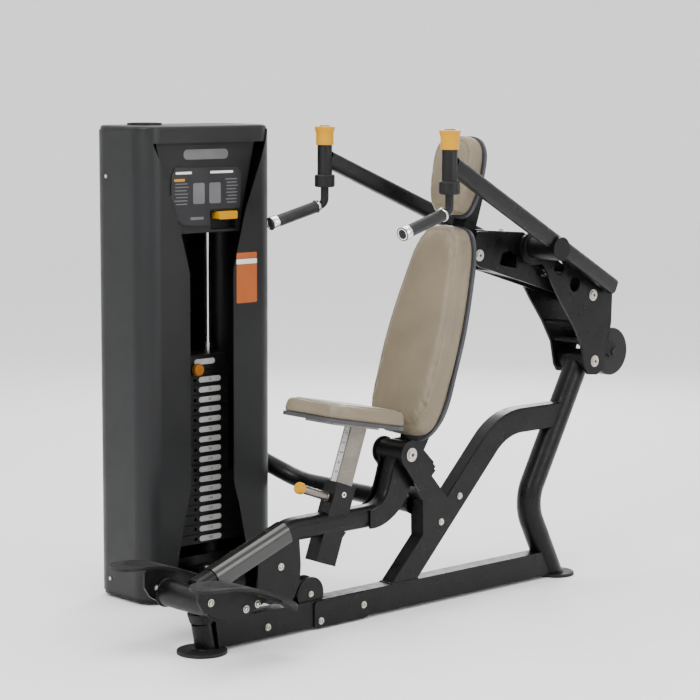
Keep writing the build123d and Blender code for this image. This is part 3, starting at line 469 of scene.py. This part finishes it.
def seam_on(obj, line, name, place, body, lift=0.2):
    """Thread laid in a channel: stitches that follow the face of the pad."""
    surface = BVHTree.FromObject(obj, bpy.context.evaluated_depsgraph_get())
    batch = Batch()
    points = []
    for p in line:
        hit = surface.ray_cast(Vector((p[0] * MM, p[1] * MM, 0.2)), Vector((0, 0, -1)))[0]
        points.append(hit + Vector((0, 0, lift * MM)) if hit else None)
    for i in range(0, len(points) - 2, 3):
        run = points[i:i + 3]
        if None in run:
            continue
        batch.add(*tube_mesh([place @ p for p in run], 0.55 * MM, 6, closed=False))
    return batch.build(name, THREAD, body, "vinyl")


def pad(name, node, outline, place, depth, crown, edge, cap, seam_inset, body):
    """One cushion from its outline to its stitching."""
    line = resample(np.array(outline), 140)
    shrink = cap * 0.35
    verts, faces = cushion_mesh(inset(line, shrink), depth - shrink, crown, edge)
    obj = make_object(name, [v * MM for v in verts], faces, MATS["vinyl"], body)
    swell(obj, cap)
    soften = obj.modifiers.new("soften", "SUBSURF")
    soften.levels = soften.render_levels = 1
    apply_modifiers(obj)
    channel = resample(inset(line, seam_inset), 400)
    press_groove(obj, channel, 2.2, 4.0, depth * 0.5)
    stitches = seam_on(obj, resample(inset(line, seam_inset + 3.5), 330), name + "_stitches", place, body)
    obj.data.transform(place)
    obj.data.shade_smooth()
    if not obj.data.materials:
        obj.data.materials.append(MATS["vinyl"])
    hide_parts(node)
    return obj, stitches


def mirrored_outline(half, count=240):
    right = [(w, s) for w, s in half]
    left = [(-w, s) for w, s in reversed(half[1:-1])]
    return closed_curve(right + left, count)


BACK_HALF = [(0, -46), (90, -39), (128, 20), (138, 130), (137, 270), (122, 410),
             (101, 518), (63, 579), (0, 591)]
HEAD_HALF = [(0, -131), (52, -123), (79, -70), (87, 10), (79, 69), (48, 102), (0, 107)]
BACK_POINT, BACK_LEAN, BACK_SHELL = (797.0, 561.0), 18.5, 11.0
HEAD_POINT, HEAD_LEAN, HEAD_SHELL = (1008.0, 1284.0), 12.0, 10.0
SEAT_FRONT, SEAT_REAR, SEAT_BOARD, SEAT_HALF_WIDTH = (374.0, 612.0), (678.0, 554.0), 11.0, 129.0


def leaning(point, lean, offset):
    a = math.radians(lean)
    out = Vector((0, -math.cos(a), math.sin(a)))
    return rest_matrix(at(0, *point) + out * offset * MM, (0, math.sin(a), math.cos(a)), out)


back_place = leaning(BACK_POINT, BACK_LEAN, BACK_SHELL)
head_place = leaning(HEAD_POINT, HEAD_LEAN, HEAD_SHELL)
pad("back_cushion", "back_pad", mirrored_outline(BACK_HALF), back_place, 60, 3, 15, 7, 26, "carriage")
pad("head_cushion", "head_pad", mirrored_outline(HEAD_HALF), head_place, 50, 3, 14, 6, 22, "carriage")
run_y, run_z = SEAT_REAR[0] - SEAT_FRONT[0], SEAT_REAR[1] - SEAT_FRONT[1]
seat_length = math.hypot(run_y, run_z)
seat_out = Vector((0, -run_z, run_y)).normalized()
seat_place = rest_matrix(at(0, *SEAT_FRONT) + seat_out * SEAT_BOARD * MM, (0, run_y, run_z), seat_out)
seat_line = [(u, v + seat_length / 2) for u, v in rounded(2 * SEAT_HALF_WIDTH, seat_length - 6, 63, 10)]
pad("seat_cushion", "seat_pad", seat_line, seat_place, 42, 3, 14, 2.5, 22, "seat")


# ---------------------------------------------------------------- handles
def knurled(origin, direction, length, radius, name, body):
    """Grip with a cut diamond pattern."""
    m = frame_along(origin, direction)
    rows, around = 150, 72
    verts, faces = [], []
    for i in range(rows + 1):
        z = length * i / rows
        fade = min(1.0, min(i, rows - i) / 5)
        for k in range(around):
            t = 2 * math.pi * k / around
            cut = abs(math.sin(9 * t + z / MM * 0.62)) * abs(math.sin(9 * t - z / MM * 0.62))
            r = radius + fade * (0.9 * cut - 0.5) * MM
            verts.append(m @ Vector((r * math.cos(t), r * math.sin(t), z)))
    for i in range(rows):
        for k in range(around):
            j = (k + 1) % around
            faces.append((i * around + k, i * around + j, (i + 1) * around + j, (i + 1) * around + k))
    faces.append(tuple(range(around))[::-1])
    faces.append(tuple(rows * around + k for k in range(around)))
    return make_object(name, verts, faces, MATS["grip_rubber"], body)


def turned(profile, origin, direction, steps=48, shape=None):
    m = frame_along(origin, direction)
    verts, faces = lathe([(r * MM, z * MM) for r, z in profile], steps, shape)
    return [m @ v for v in verts], faces


def knob_shape(angle, z):
    """Scalloped flare near the top of the unlocking knob."""
    high = max(0.0, min(1.0, (z / MM - 36) / 10))
    return 1.0 - 0.045 * high * abs(math.sin(4 * angle))


KNOB = [(14, 0.4), (25.4, 0.4), (26, 1.2), (26.2, 8), (26.2, 24), (26.2, 34), (26.8, 38), (28.6, 43),
        (30.2, 48), (30.4, 51.5), (29.4, 54.4), (26, 55.4), (19, 55.4), (17.4, 54.2), (17, 50)]
KNOB_CAP = [(16.8, 50), (16.8, 54.4), (15.2, 57.2), (9, 57.8), (0.5, 58)]
FERRULE = [(13, -6.3), (18.6, -6.3), (19.9, -5.2), (19.9, -0.6), (18.6, 0.6), (13, 0.6)]
END_CAP = [(13, -15), (18.4, -15), (19.7, -13.8), (19.7, 6.5), (18.2, 8.8), (14, 9.4), (13, 8.8), (0.4, 8.8)]
HANDLE_X, HANDLE_Y, KNEE_Z, KNOB_Z = 260, 687, 1194, 1367.4
GRIP_END = (277, 488, 1141)
for side, label in ((1, "left"), (-1, "right")):
    body = "handle_" + label[0]
    knee = at(side * HANDLE_X, HANDLE_Y, KNEE_Z)
    end = at(side * GRIP_END[0], GRIP_END[1], GRIP_END[2])
    unit = (end - knee).normalized()
    first = knee + unit * 34 * MM
    length = (end - knee).length - 43 * MM
    grip = knurled(first, unit, length - 14 * MM, 17.4 * MM, "grip_skin_" + label, body)
    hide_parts("grip_" + label)
    trim = Batch()
    trim.add(*turned(FERRULE, first, unit))
    trim.add(*turned(END_CAP, first + unit * length, unit))
    trim.build("grip_trim_" + label, MATS["chrome"], body, "chrome")
    knob = Batch()
    base = at(side * HANDLE_X, HANDLE_Y, KNOB_Z)
    knob.add(*turned(KNOB, base, (0, 0, 1), 96, knob_shape))
    rider = "knob_" + label[0]
    piece = knob.build("unlock_knob_" + label, MATS["yellow_plastic"], rider, "yellow_plastic", sharp=50)
    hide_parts("knob_" + label)
    top = Batch()
    top.add(*turned(KNOB_CAP, base, (0, 0, 1), 48))
    top.build("knob_insert_" + label, MATS["foot_rubber"], rider, "foot_rubber")


# ---------------------------------------------------------------- weight stack labels
STACK_FACE, PILL_Y = -584.0, 507.5
PITCH, STACK_LOW, PLATES = 30.75, 143.6, 17


def number(text, size, place):
    """Vertices and faces of a figure, centred on its place."""
    curve = bpy.data.curves.new("figure", "FONT")
    curve.body = text
    curve.size = size * MM
    curve.extrude = 0.12 * MM
    curve.align_x, curve.align_y = "CENTER", "CENTER"
    holder = bpy.data.objects.new("figure_curve", curve)
    bpy.context.scene.collection.objects.link(holder)
    bpy.context.view_layer.update()
    mesh = bpy.data.meshes.new_from_object(holder.evaluated_get(bpy.context.evaluated_depsgraph_get()))
    bpy.data.objects.remove(holder)
    mesh.transform(place)
    verts = [v.co.copy() for v in mesh.vertices]
    faces = [tuple(p.vertices) for p in mesh.polygons]
    return verts, faces


def facing_left(origin):
    """Matrix that puts flat lettering on a face that looks along +X, reading along +Y."""
    m = Matrix((Vector((0, 1, 0)), Vector((0, 0, 1)), Vector((1, 0, 0)))).transposed().to_4x4()
    return Matrix.Translation(origin) @ m


pills, digits = Batch(), Batch()
for i in range(PLATES):
    z = STACK_LOW + PITCH * (i + 0.5)
    pills.add(*on_side(STACK_FACE, PILL_Y, z, 86, 17, 8.4, 1.0, 0.4))
    digits.add(*number(str(10 * (PLATES + 1 - i)), 13, facing_left(at(STACK_FACE + 1.05, PILL_Y, z))))
pills.build("plate_pills", LABEL_GREY, "base", "placard_print")
digits.build("plate_numbers", INK_AND_SOCKET_SHADE, "base", "placard_print", smooth=False)
head_pill = Batch()
head_pill.add(*on_side(STACK_FACE, 488, STACK_LOW + PLATES * PITCH + 40, 80, 17, 8.4, 1.0, 0.4))
head_pill.build("head_pill", LABEL_GREY, "stack_head", "placard_print")

# ---------------------------------------------------------------- tower prints, all of them blank blocks
bars, yellow_bars, greys = Batch(), Batch(), Batch()
FACE, BADGE_FACE, COVER_FACE = -523.0, -526, -500  # X of the placard, of the header and of the cover's side
for y, z, w, h in ((363, 1284, 60, 7), (508, 1284, 88, 7)):
    bars.add(*on_side(FACE, y, z, w, h, 2, 0.3, 0.1))
for row in range(8):
    for y, w in ((352, 52), (545, 46)):
        if y == 352 and row == 0:
            continue
        greys.add(*on_side(FACE, y + (row % 3) * 2, 1262 - row * 10, w - (row * 7) % 13, 3, 1, 0.3, 0.1))
yellow_bars.add(*on_side(FACE, 347, 1263, 40, 8, 2, 0.3, 0.1))
for y in (420, 482):
    greys.add(*on_side(FACE, y, 1222, 44, 62, 6, 0.3, 0.1))
greys.add(*on_side(FACE, 413, 1148, 50, 8, 3, 0.3, 0.1))
bars.build("placard_titles", WHITE, "base", "placard_print")
greys.build("placard_blocks", PRINT_GREY, "base", "placard_print")
yellow_bars.build("placard_accent", MATS["yellow_plastic"], "base", "placard_print")
badge = Batch()
badge.add(*on_side(BADGE_FACE, 450, 1338, 170, 30, 14, 0.8, 0.3))
badge.build("header_badge", PRINT_GREY, "base", "placard_print")
sticker, sticker_band = Batch(), Batch()
sticker.add(*on_side(COVER_FACE, 586, 945, 80, 118, 4, 0.4, 0.15))
sticker.add(*on_side(COVER_FACE, 586, 1030, 80, 18, 4, 0.4, 0.15))
sticker_band.add(*on_side(COVER_FACE, 586, 1012, 80, 15, 2, 0.4, 0.15))
sticker.build("blank_label", ORANGE, "base", "placard_print")
sticker_band.build("blank_label_band", WHITE, "base", "placard_print")

# ---------------------------------------------------------------- numbered strip on the seat post
POST_LEAN = 70  # degrees from the level
lean = math.radians(POST_LEAN)
along = Vector((0, math.cos(lean), math.sin(lean)))
front = Vector((0, -math.sin(lean), math.cos(lean)))
post_point = at(0, 516.0, 406.0)


def on_post(u, v):
    return post_point + along * v * MM + front * 30.2 * MM + Vector((u * MM, 0, 0))


strip = Batch()
strip.add(*plaque([on_post(u, v + 78) for u, v in rounded(20, 172, 2)], front, 0.5 * MM, 0.2 * MM))
strip.build("post_strip", SILVER_STRIP, "seat", "steel")
figures = Batch()
for i in range(5):
    m = Matrix((-along, Vector((1, 0, 0)), front)).transposed().to_4x4()
    m = Matrix.Translation(on_post(0, 145 - 29 * i) + front * 0.55 * MM) @ m
    figures.add(*number(str(i + 1), 17, m))
figures.build("post_numbers", INK_AND_SOCKET_SHADE, "seat", "placard_print", smooth=False)
dot, dot_mark = Batch(), Batch()
for batch, r, lift, height in ((dot, 8, 0, 0.5), (dot_mark, 4.2, 0.5, 0.3)):
    centre = post_point + along * -30 * MM + Vector((25 * MM + lift * MM, 0, 0))
    turn = np.linspace(0, 2 * math.pi, 28, endpoint=False)
    ring = [centre + (along * math.sin(t) + front * math.cos(t)) * r * MM for t in turn]
    batch.add(*plaque(ring, (1, 0, 0), height * MM, 0.15 * MM))
dot.build("sleeve_dot", WHITE, "carriage", "placard_print")
dot_mark.build("sleeve_dot_mark", INK_AND_SOCKET_SHADE, "carriage", "placard_print")

# ---------------------------------------------------------------- ribs on the foot plates
for side, label in ((1, "left"), (-1, "right")):
    plate = NODES["foot_plate_" + label]
    ribs = Batch()
    for k in range(-5, 6):
        x = side * 175 + k * 9.0
        reach = 150 * math.sqrt(max(0.0, 1 - (k * 9.0 / 57) ** 2)) ** 0.8
        points = []
        for y in np.linspace(6 - reach, 6 + reach, 36):
            start = at(x, float(y), 400)
            hit, place, *_ = plate.ray_cast(start, Vector((0, 0, -1)))
            if hit:
                points.append(place - Vector((0, 0, 0.6 * MM)))
        if len(points) > 4:
            ribs.add(*tube_mesh(points, 2.1 * MM, 8, closed=False,
                                wobble=lambda i, n=len(points): min(1.0, (i + 1) / 4, (n - i) / 4)))
    ribs.build("foot_ribs_" + label, MATS["foot_rubber"], "carriage", "foot_rubber")


# ---------------------------------------------------------------- weld beads
def bead(batch, points, radius=2.6):
    """A weld run with its ripples."""
    batch.add(*tube_mesh(points, radius * MM, 8,
                         wobble=lambda i: 1.0 + 0.16 * math.sin(i * 1.9) + 0.07 * math.sin(i * 0.7)))


def ring_points(centre, axis, radius, count=90):
    """Points of a circle about an axis."""
    m = frame_along(centre, axis)
    return [m @ Vector((radius * MM * math.cos(t), radius * MM * math.sin(t), 0))
            for t in np.linspace(0, 2 * math.pi, count, endpoint=False)]


def box_points(x, y, z, step=3.5):
    """Rectangle of points at one height."""
    out = []
    corners = [(x[0], y[0]), (x[1], y[0]), (x[1], y[1]), (x[0], y[1])]
    for a, b in zip(corners, corners[1:] + corners[:1]):
        count = int(math.hypot(b[0] - a[0], b[1] - a[1]) / step)
        out += [at(a[0] + (b[0] - a[0]) * i / count, a[1] + (b[1] - a[1]) * i / count, z)
                for i in range(count)]
    return out


base_welds, arm_welds, carriage_welds = Batch(), Batch(), Batch()
bead(base_welds, ring_points(at(0, 10.5, 10.5), (0, 0, 1), 29.5))
foot_y = 1298 + 248 * 0.511 - 5
bead(base_welds, ring_points(at(0, foot_y, 10.5), (0, -0.2, 1), 38.5))
half = 76.2 / 2 / math.sin(math.radians(45.5))
mid = 897 - (234 - 85.7) / math.tan(math.radians(45.5))
bead(base_welds, box_points((-26, 26), (mid - half, mid + half), 86.4))
bead(base_welds, ring_points(at(-27, 832, 302), (1, 0, 0), 28.6))
for side in (-1, 1):
    bead(arm_welds, ring_points(at(side * 68.5, 1246, 1056), (1, 0, 0), 36.5))
    bead(carriage_welds, ring_points(at(side * 106.5, -34, 155), (1, 0, 0), 38))
base_welds.build("base_welds", MATS["frame_paint"], "base", "frame_paint")
arm_welds.build("arm_welds", MATS["frame_paint"], "press_arm", "frame_paint")
carriage_welds.build("carriage_welds", MATS["frame_paint"], "carriage", "frame_paint")

# ---------------------------------------------------------------- bolt heads and the pull pin's barrel
HEAD = [(0.4, 0.2), (10.5, 0.2), (10.7, 0.9), (10.5, 1.9), (7.6, 2.2), (7.5, 4.2), (6.6, 5.7),
        (5.2, 6.3), (3.4, 6.4), (3.1, 5.9), (3.0, 4.0), (0.4, 3.8)]
PIN_BARREL = [(6.5, 40), (13.2, 40), (13.4, 41), (13.4, 46), (12.5, 46.6), (12.5, 137), (12.0, 138),
              (6.5, 138)]
PIN_ANGLE = math.radians(160)
# hex sockets, drawn as flat near-black hexagons of painted shade: body, place of the bolt's face and size
# across
SOCKETS = (("base", 62, 740, 472, 14), ("press_arm", 68, 1538, 680, 12.5),
           ("press_arm", 68, 1526, 890, 12.5), ("link", 40, 1040, 1039, 12),
           ("base", 26, 216, 39, 7), ("base", 31, 579, 45, 7), ("base", 31, 412, 25, 7))
ONE_SIDED_Y = 412  # the bolt here has its head on the +X side only


def bolt_head(batch, x, y, z, side):
    """A domed head that looks along X, towards side."""
    batch.add(*turned(HEAD, at(x, y, z), (side, 0, 0), 32))


carriage_heads = Batch()
for side in (-1, 1):
    for y, z in ((-66, 171), (57, 134), (98, 142)):
        bolt_head(carriage_heads, side * 120, y, z, side)
    bolt_head(carriage_heads, side * 112, -66, 171, -side)
    bolt_head(carriage_heads, side * 30, 261, 205, side)
carriage_heads.build("carriage_bolt_heads", MATS["steel"], "carriage", "steel")
barrel = Batch()
barrel_axis = Vector((0, math.cos(PIN_ANGLE), math.sin(PIN_ANGLE)))
barrel.add(*turned(PIN_BARREL, post_point + along * -48 * MM, barrel_axis))
barrel.build("pin_barrel", POST_STEEL, "carriage", "steel")
# each socket is a flat near-black hexagon on the bolt's face: painted shade standing in for the hollow
socket_shades = {"base": Batch(), "press_arm": Batch(), "link": Batch()}
for body, x, y, z, size in SOCKETS:
    for side in (-1, 1):
        if side > 0 or y != ONE_SIDED_Y:
            r = size * 0.4 * MM
            centre = at(side * (x + 3.1), y, z)
            ring = [centre + Vector((0, math.cos(t), math.sin(t))) * r
                    for t in np.linspace(0, 2 * math.pi, 6, endpoint=False)]
            socket_shades[body].add(*plaque(ring, (side, 0, 0), 0.2 * MM, 0.1 * MM))
for body, batch in socket_shades.items():
    batch.build("bolt_socket_shades_" + body, INK_AND_SOCKET_SHADE, body, "placard_print", smooth=False)

# ---------------------------------------------------------------- softened edges on the metalwork
SOFT_EDGES = (("base_beam", 2.5), ("beam_plates", 0.8), ("pivot_bracket", 1.0), ("pulley_gussets", 0.8),
              ("seat_sleeve", 1.2), ("seat_post", 1.0), ("lateral_tube", 2.5), ("placard", 0.5),
              ("header_panel", 1.0), ("link_bar", 0.8))
for node, width in SOFT_EDGES:
    modifier = NODES[node].modifiers.new("edges", "BEVEL")
    modifier.width = width * MM
    modifier.segments = 2
    modifier.limit_method = "ANGLE"
    modifier.angle_limit = math.radians(50)
    modifier.harden_normals = False

# ---------------------------------------------------------------- stage
# a round floor that curves up into a wall, so that no edge shows behind the machine
floor_radius, cove, wall = 11.0, 4.0, 8.0
section = [(0.02, 0.0), (2.0, 0.0), (5.0, 0.0), (8.0, 0.0)]
section += [(floor_radius + cove * math.sin(t), cove * (1 - math.cos(t)))
            for t in np.linspace(0, math.pi / 2, 24)]
section.append((floor_radius + cove, wall))
around = 96
floor_verts = [(r * math.cos(2 * math.pi * i / around), r * math.sin(2 * math.pi * i / around), z)
               for i in range(around) for r, z in section]
floor_faces = [tuple(i * len(section) for i in range(around))]
for i in range(around):
    j = (i + 1) % around
    for k in range(len(section) - 1):
        near, far = i * len(section) + k, j * len(section) + k
        floor_faces.append((near, near + 1, far + 1, far))
floor_mesh = bpy.data.meshes.new("floor")
floor_mesh.from_pydata(floor_verts, [], floor_faces)
floor_mesh.shade_smooth()
floor = bpy.data.objects.new("floor", floor_mesh)
floor.location.z = -0.0005
bpy.context.scene.collection.objects.link(floor)
floor_mat = grained("floor_white", (0.9, 0.9, 0.9), 0.8, 0.04, 0.01, 60, 0.0002, 0.1, Specular_IOR_Level=0.1)
floor_mesh.materials.append(floor_mat)

world = bpy.data.worlds.new("studio")
world.use_nodes = True
world.node_tree.nodes["Background"].inputs["Color"].default_value = (1, 1, 1, 1)
world.node_tree.nodes["Background"].inputs["Strength"].default_value = 1.5
bpy.context.scene.world = world


def area_light(name, place, target, size, power):
    light = bpy.data.lights.new(name, "AREA")
    light.shape = "RECTANGLE"
    light.size, light.size_y = size
    light.energy = power
    obj = bpy.data.objects.new(name, light)
    obj.location = place
    obj.rotation_euler = (Vector(target) - Vector(place)).to_track_quat("-Z", "Y").to_euler()
    bpy.context.scene.collection.objects.link(obj)


area_light("key", (1.5, -4.2, 3.6), (0, 0, 0.7), (2.4, 2.4), 170)
area_light("fill", (4.2, 0.8, 2.2), (0, 0, 0.7), (2.0, 2.6), 70)
area_light("top", (-0.4, 0.2, 4.2), (0, 0, 0.6), (3.0, 3.0), 90)
area_light("rim", (-2.8, 3.4, 2.6), (0, 0, 0.8), (1.6, 2.4), 90)

camera_data = bpy.data.cameras.new("camera")
camera_data.sensor_width = 36
camera_data.lens = 2214.79 * 36 / 700
camera = bpy.data.objects.new("camera", camera_data)
azimuth, pitch, roll = (math.radians(v) for v in (47.1818, 7.1429, 0.1694))
look = Vector((-math.sin(azimuth) * math.cos(pitch), math.cos(azimuth) * math.cos(pitch), -math.sin(pitch)))
right = Vector((math.cos(azimuth), math.sin(azimuth), 0))
up = right.cross(look)
right, up = right * math.cos(roll) + up * math.sin(roll), up * math.cos(roll) - right * math.sin(roll)
pose = Matrix((right, up, -look)).transposed().to_4x4()
camera.matrix_world = Matrix.Translation(at(4622.887, -3733.228, 1580.677)) @ pose
camera_data.clip_end = 60
bpy.context.scene.collection.objects.link(camera)
bpy.context.scene.camera = camera

bpy.context.view_layer.update()
